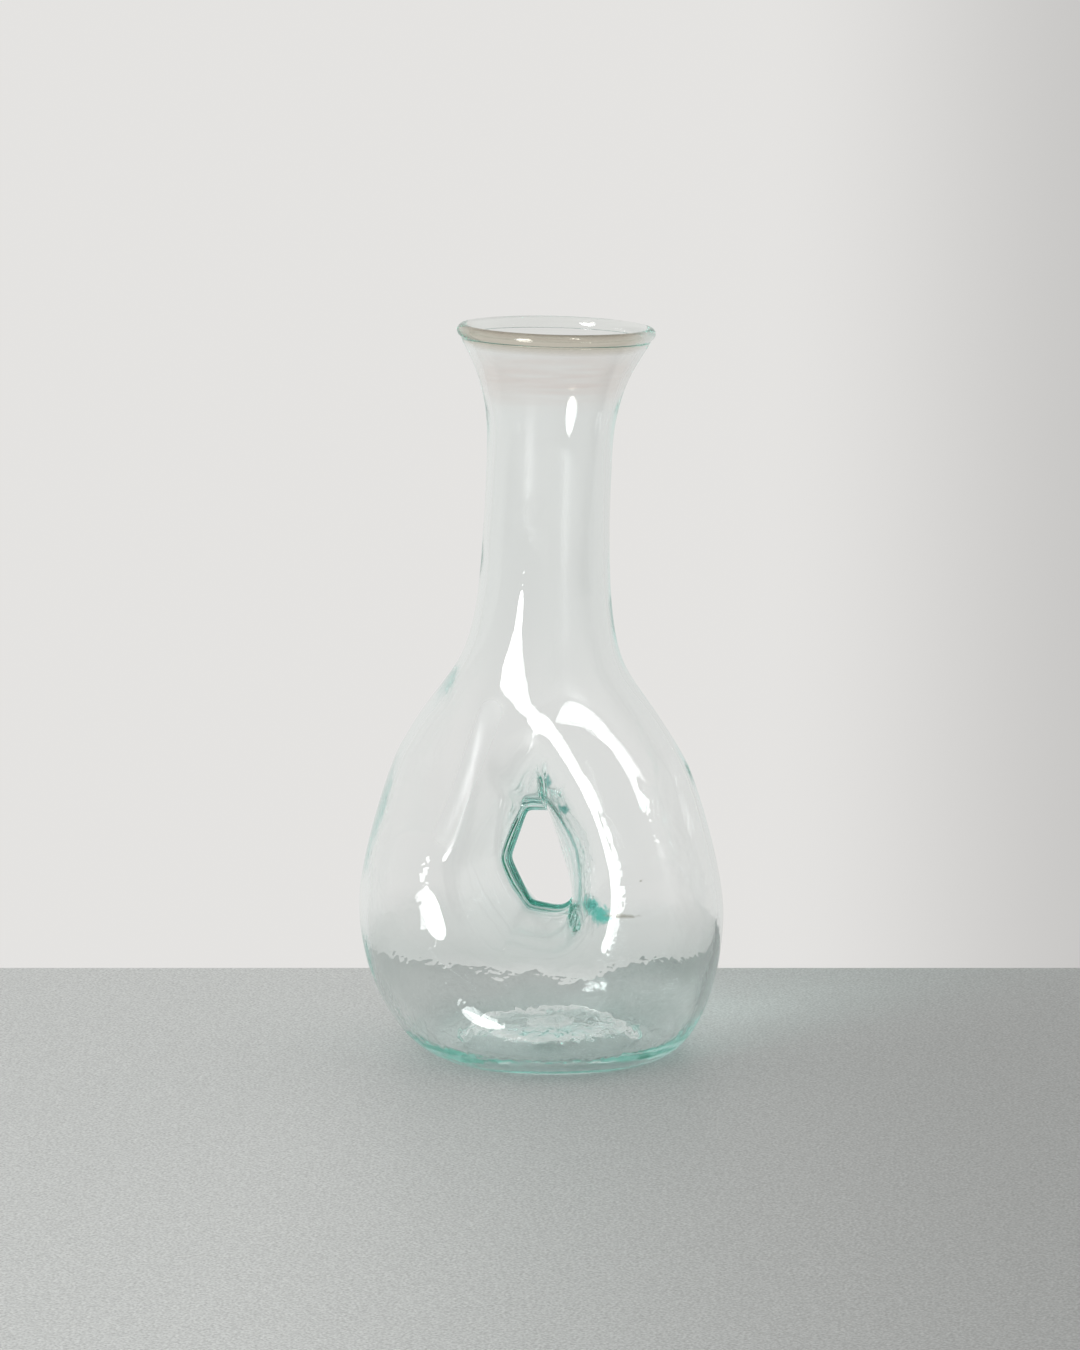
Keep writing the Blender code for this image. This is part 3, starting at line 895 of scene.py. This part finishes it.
def clear_glass(name, finish):
    """Clear recycled glass: smooth, rippled, tinted by depth, and letting the lamp through to the floor."""
    material, tree, shader, output = start_material(name)
    shader.inputs["IOR"].default_value = GLASS_IOR
    shader.inputs["Transmission Weight"].default_value = 1.0
    tint = add_node(tree, "ShaderNodeVolumeAbsorption", Color=(*finish.tint, 1.0), Density=finish.depth)
    feed(tree, output.inputs["Volume"], tint.outputs[0])
    path = add_node(tree, "ShaderNodeLightPath")
    through = add_node(tree, "ShaderNodeBsdfTransparent", Color=SHADOW_TINT)
    mix = add_node(tree, "ShaderNodeMixShader")
    sources = (path.outputs["Is Shadow Ray"], shader.outputs[0], through.outputs[0])
    for socket, source in zip(mix.inputs, sources):
        feed(tree, socket, source)
    feed(tree, output.inputs["Surface"], mix.outputs[0])
    place = add_node(tree, "ShaderNodeTexCoord").outputs["Object"]
    ripples = shared_group("glass ripples", ripple_group)
    field = add_node(
        tree, "ShaderNodeGroup", node_tree=ripples, Vector=place, Scale=RIPPLE_SCALE, Fine=RIPPLE_FINE
    )
    bump = add_node(
        tree, "ShaderNodeBump", Strength=1.0, Distance=finish.ripple, Height=field.outputs["Height"]
    )
    feed(tree, shader.inputs["Normal"], bump.outputs[0])
    return material, tree, shader, place, field, bump


def vessel_glass(finish):
    """The vessel's glass: its tints from neck to foot, the low one partly painted shade, smoke and brown at
    the mouth, painted reflections beside the hole, curls and seeds.
    """
    material, tree, shader, place, field, bump = clear_glass("recycled glass", finish)
    calm = worked(tree, "MULTIPLY", field.outputs["Height"], attribute(tree, "ripple"))
    feed(tree, bump.inputs["Height"], calm)
    streaks = shared_group("smoke streaks", smoke_group)
    smoke = add_node(tree, "ShaderNodeGroup", node_tree=streaks, Vector=place).outputs["Mask"]
    layers = [
        (finish.pale, attribute(tree, "neck")),
        (finish.low, attribute(tree, "low")),
        (finish.haze, smoke),
        (finish.lip, attribute(tree, "lip")),
        (finish.crest, attribute(tree, "crest")),
        (finish.rim, attribute(tree, "rim")),
    ]
    smudge = shared_group("frayed smudge", smudge_group)
    # The first set of marks are painted reflections beside the hole
    for tint, marks in ((finish.weld_reflection, WELD_REFLECTIONS), (finish.curl, CURLS), (finish.seed, SEEDS)):
        for spot, reach, fray in marks:
            mark = add_node(
                tree, "ShaderNodeGroup", node_tree=smudge, Vector=place, Place=spot, Reach=reach, Fray=fray
            )
            layers.append((tint, mark.outputs["Mask"]))
    shown = (1.0, 1.0, 1.0, 1.0)
    for tint, mask in layers:
        shown = mixed(tree, shown, (*tint, 1.0), mask)
    feed(tree, shader.inputs["Base Color"], shown)
    smoky = worked(tree, "MULTIPLY", smoke, SMOKE_ROUGHNESS)
    rough = worked(tree, "MULTIPLY_ADD", attribute(tree, "dull"), DULL_ROUGHNESS, smoky)
    feed(tree, shader.inputs["Roughness"], rough)
    return material


def pontil_glass(finish):
    """The scar's glass: broken and rough, greener where it is roughest."""
    material, tree, shader, _, field, _ = clear_glass("pontil glass", finish)
    field.inputs["Scale"].default_value = SCAR_SCALE
    rough = ranged(tree, field.outputs["Height"], SCAR_SHOWN, (0.0, SCAR_ROUGHNESS))
    feed(tree, shader.inputs["Roughness"], rough)
    feed(tree, shader.inputs["Base Color"], mixed(tree, (*SCAR_CLEAR, 1.0), (*SCAR_GREEN, 1.0), rough))
    return material


def mark_vessel(piece, size, pinch, work, points):
    """Numbers for the material: the share of the ripples, and where each tint and the dulled streak lie.

    The streak is placed on the finished points, the rest on the points before the axis sways."""
    across, depth, height = np.vstack(work.points).T
    inside = np.concatenate(work.inner)
    x = across - pinch.hole_offset
    z = height - pinch.hole_height
    from_hole = np.hypot(x, z) - hole_radius(pinch, np.arctan2(z, x))
    calm = rising(from_hole, CALM_HOLE) * between(1.0, NECK_RIPPLE, rising(height, CALM_NECK))
    calm = calm * between(1.0, SIDE_RIPPLE, rising(np.abs(across), CALM_SIDE))
    dark_side = between(1.0, RIM_RIGHT_SHARE, rising(x, RIM_SIDE))
    front = between(1.0, LIP_BACK_SHARE, rising(depth, LIP_FADE))
    dull = np.exp(-(from_line(points, DULL_TOP, DULL_BOTTOM) / DULL_REACH) ** 2)
    put_attribute(piece, "ripple", np.where(inside, 1.0, OUTSIDE_RIPPLE) * calm)
    put_attribute(piece, "rim", (1.0 - rising(from_hole, RIM_FADE)) * dark_side)
    put_attribute(piece, "neck", rising(height, PALE_NECK))
    # The low tint: part glass tint, part painted shade of the shadowed floor seen through the lower belly
    put_attribute(piece, "low", (1.0 - rising(height, LOW_TOP)) * rising(height, LOW_FOOT))
    put_attribute(piece, "dull", np.where(inside, 0.0, dull))
    put_attribute(piece, "crest", np.concatenate(work.crest) * front)
    put_attribute(piece, "lip", rising(height - size.mouth_height, LIP_UNDER) * front)


class DECANTER_OT_blow_vessel(bpy.types.Operator):
    """Blow the body with its pinched and pierced belly, its kicked-up base and its lip"""

    bl_idname = "decanter.blow_vessel"
    bl_label = "Blow vessel"

    def execute(self, context):
        scene = context.scene
        size, pinch, finish = scene.decanter_vessel, scene.decanter_pinch, scene.decanter_glass
        work = Patches()
        outer, outer_row = draw_skin(work, size, pinch, False)
        inner, inner_row = draw_skin(work, size, pinch, True)
        draw_lip(work, size, outer, outer_row, inner, inner_row)
        points = swayed(size, np.vstack(work.points))
        quads = np.vstack(work.quads)
        fans = np.vstack(work.fans)
        inside = np.concatenate(work.inner)
        lift = np.where(
            inside,
            waves(points, INSIDE_WAVELENGTH, INSIDE_SEED),
            OUTSIDE_WAVE * (waves(points, OUTSIDE_WAVELENGTH, OUTSIDE_SEED) - OUTSIDE_SINK),
        )
        lift *= finish.wave * rising(points[:, 2], WAVE_FOOT) * (1.0 - rising(points[:, 2], WAVE_MOUTH))
        points = points + point_normals(points, quads, fans) * lift[:, None]
        piece = mesh_object("glass_vessel", points, (quads, fans))
        mark_vessel(piece, size, pinch, work, points)
        piece.data.materials.append(vessel_glass(finish))
        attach(piece, "root")
        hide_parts("glass_body", "lip_wrap")
        return {"FINISHED"}


class DECANTER_OT_press_pontil(bpy.types.Operator):
    """Press the scar that the pontil iron leaves under the base"""

    bl_idname = "decanter.press_pontil"
    bl_label = "Press pontil scar"

    def execute(self, context):
        low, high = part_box("pontil_pad")
        finish = context.scene.decanter_glass
        turn = np.arange(SCAR_COLUMNS) * 2.0 * np.pi / SCAR_COLUMNS
        lobes = sum(share * np.sin(number * turn + start) for number, share, start in SCAR_LOBES)
        edge = 0.5 * min(high.x - low.x, high.y - low.y) * (SCAR_SHARE + lobes)
        share = np.linspace(1.0, SCAR_MIDDLE, SCAR_RINGS)[:, None]
        middle = 0.5 * (low + high)
        half = 0.5 * (high.z - low.z)
        x = middle.x + share * edge * np.cos(turn)
        y = middle.y + share * edge * np.sin(turn)
        crown = np.sqrt(1.0 - (SCAR_CROWN * share) ** 4)
        grain = SCAR_GRAIN * np.sin(x * SCAR_GRAIN_X) * np.cos(y * SCAR_GRAIN_Y) * (1 - share ** 2)
        work = Patches()
        under = work.add(x, y, middle.z - half * (SCAR_UNDER * crown + grain), False)
        over = work.add(x[1:], y[1:], middle.z + half * SCAR_OVER * crown[1:], False)
        over = np.vstack([under[:1], over])
        work.band(under, True)
        work.band(over, False)
        for rows, flip in ((under, True), (over, False)):
            points = np.vstack(work.points)[rows[-1]]
            centre = work.add(*(axis[None] for axis in points.mean(0)), False)
            work.fan(rows[-1], centre[0], flip)
        faces = (np.vstack(work.quads), np.vstack(work.fans))
        piece = mesh_object("pontil_scar", np.vstack(work.points), faces)
        piece.data.materials.append(pontil_glass(finish))
        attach(piece, "root")
        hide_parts("pontil_pad")
        return {"FINISHED"}


def lay_floor(look, right, ahead):
    """The pale floor: one grainy sheet that ends behind the object, with painted shade darkening it to the
    right.
    """
    side = FLOOR_HALF * right
    near = FLOOR_HALF * ahead
    behind = FLOOR_BEHIND * ahead
    corners = np.array([-side + behind, -side - near, side - near, side + behind]) - [0.0, 0.0, FLOOR_DROP]
    floor = mesh_object("floor", corners, (np.array([[0, 1, 2, 3]]),))
    material, tree, shader, _ = start_material("pale floor")
    place = add_node(tree, "ShaderNodeTexCoord").outputs["Object"]
    grain = ranged(tree, noise(tree, place, GRAIN_SCALE, detail=2.0), GRAIN_NOISE, GRAIN_SHADE)
    sideways = vector_worked(tree, "DOT_PRODUCT", place, right)
    # Painted shade: the floor's colour is lighter on the left and darker to the right, where the lamp's
    # light falls off
    grain_and_painted_shade = worked(tree, "MULTIPLY", grain, ranged(tree, sideways, FALLOFF_SHADE_SPAN, PAINTED_FALLOFF_SHADE, smooth=True))
    feed(tree, shader.inputs["Base Color"], mixed(tree, (*look.floor, 1.0), grain_and_painted_shade, 1.0, "MULTIPLY"))
    shader.inputs["Roughness"].default_value = FLOOR_ROUGHNESS
    floor.data.materials.append(material)


def light_room(look, right, ahead):
    """The light all round: a bright backdrop, dimmer to the right, and a darker room behind the camera."""
    world = bpy.data.worlds.new("soft studio")
    world.use_nodes = True
    tree = world.node_tree
    sky = tree.nodes["Background"]
    place = add_node(tree, "ShaderNodeTexCoord").outputs["Object"]
    towards = vector_worked(tree, "DOT_PRODUCT", place, -ahead)
    front = ranged(tree, towards, ROOM_FROM_TO, smooth=True)
    feed(tree, sky.inputs["Color"], mixed(tree, (*look.backdrop, 1.0), (*look.room, 1.0), front))
    straight = add_node(tree, "ShaderNodeLightPath").outputs["Is Camera Ray"]
    share = ranged(tree, straight, (0.0, 1.0), (DIM_SHARE_THROUGH, DIM_SHARE))
    sideways = vector_worked(tree, "DOT_PRODUCT", place, right)
    feed(tree, sky.inputs["Strength"], ranged(tree, sideways, DIM_FROM_TO, (1.0, share), smooth=True))
    bpy.context.scene.world = world


def stand_lamp(look):
    """The soft box, left of the camera and facing the object."""
    lamp = bpy.data.lights.new("soft box", "AREA")
    lamp.shape = "ELLIPSE"
    lamp.size = look.lamp_width
    lamp.size_y = look.lamp_height
    lamp.energy = look.lamp_watts
    aim = look.camera_turn - look.lamp_turn
    level = math.cos(look.lamp_rise)
    towards = Vector((math.sin(aim) * level, -math.cos(aim) * level, math.sin(look.lamp_rise)))
    box = bpy.data.objects.new("soft box", lamp)
    box.location = towards * LAMP_DISTANCE + Vector((0.0, 0.0, LAMP_AIM))
    box.rotation_euler = (-towards).to_track_quat("-Z", "Y").to_euler()
    bpy.context.scene.collection.objects.link(box)


def aim_camera(turn):
    """The camera, right of the front and looking down a little."""
    lens = bpy.data.cameras.new("camera")
    lens.lens = LENS_MM
    lens.sensor_width = SENSOR_MM
    lens.clip_start = CAMERA_CLIP
    camera = bpy.data.objects.new("camera", lens)
    camera.location = (CAMERA_DISTANCE * math.sin(turn), -CAMERA_DISTANCE * math.cos(turn), CAMERA_HEIGHT)
    camera.rotation_euler = (0.5 * math.pi - CAMERA_DIP, 0.0, turn + CAMERA_TRIM)
    bpy.context.scene.collection.objects.link(camera)
    bpy.context.scene.camera = camera


class DECANTER_OT_set_stage(bpy.types.Operator):
    """Set the floor, the soft light and the camera"""

    bl_idname = "decanter.set_stage"
    bl_label = "Set stage"

    def execute(self, context):
        scene = context.scene
        look = scene.decanter_stage
        turn = look.camera_turn
        right = np.array([math.cos(turn), math.sin(turn), 0.0])
        ahead = np.array([-math.sin(turn), math.cos(turn), 0.0])
        lay_floor(look, right, ahead)
        light_room(look, right, ahead)
        stand_lamp(look)
        aim_camera(turn)
        scene.view_settings.view_transform = "Standard"
        for limit in ("max", "diffuse", "glossy", "transmission", "transparent_max"):
            setattr(scene.cycles, limit + "_bounces", BOUNCES)
        return {"FINISHED"}


class DECANTER_PT_maker(bpy.types.Panel):
    """Lists the steps and sizes of the decanter."""

    bl_label = "Pierced glass decanter"
    bl_idname = "DECANTER_PT_maker"
    bl_space_type = "VIEW_3D"
    bl_region_type = "UI"
    bl_category = "Decanter"

    def draw(self, context):
        for step in STEPS:
            self.layout.operator(step.bl_idname)
        for name in SETTINGS:
            group = getattr(context.scene, name)
            for field in group.__annotations__:
                self.layout.prop(group, field)


SETTINGS = {
    "decanter_vessel": VesselSizes,
    "decanter_pinch": PinchSizes,
    "decanter_glass": GlassFinish,
    "decanter_stage": StageLook,
}
STEPS = (DECANTER_OT_blow_vessel, DECANTER_OT_press_pontil, DECANTER_OT_set_stage)


def register():
    for name, group in SETTINGS.items():
        bpy.utils.register_class(group)
        setattr(bpy.types.Scene, name, bpy.props.PointerProperty(type=group))
    for step in STEPS:
        bpy.utils.register_class(step)
    bpy.utils.register_class(DECANTER_PT_maker)


def unregister():
    bpy.utils.unregister_class(DECANTER_PT_maker)
    for step in reversed(STEPS):
        bpy.utils.unregister_class(step)
    for name, group in reversed(list(SETTINGS.items())):
        delattr(bpy.types.Scene, name)
        bpy.utils.unregister_class(group)


def main():
    register()
    bpy.ops.decanter.blow_vessel()
    bpy.ops.decanter.press_pontil()
    bpy.ops.decanter.set_stage()


if __name__ == "__main__":
    main()
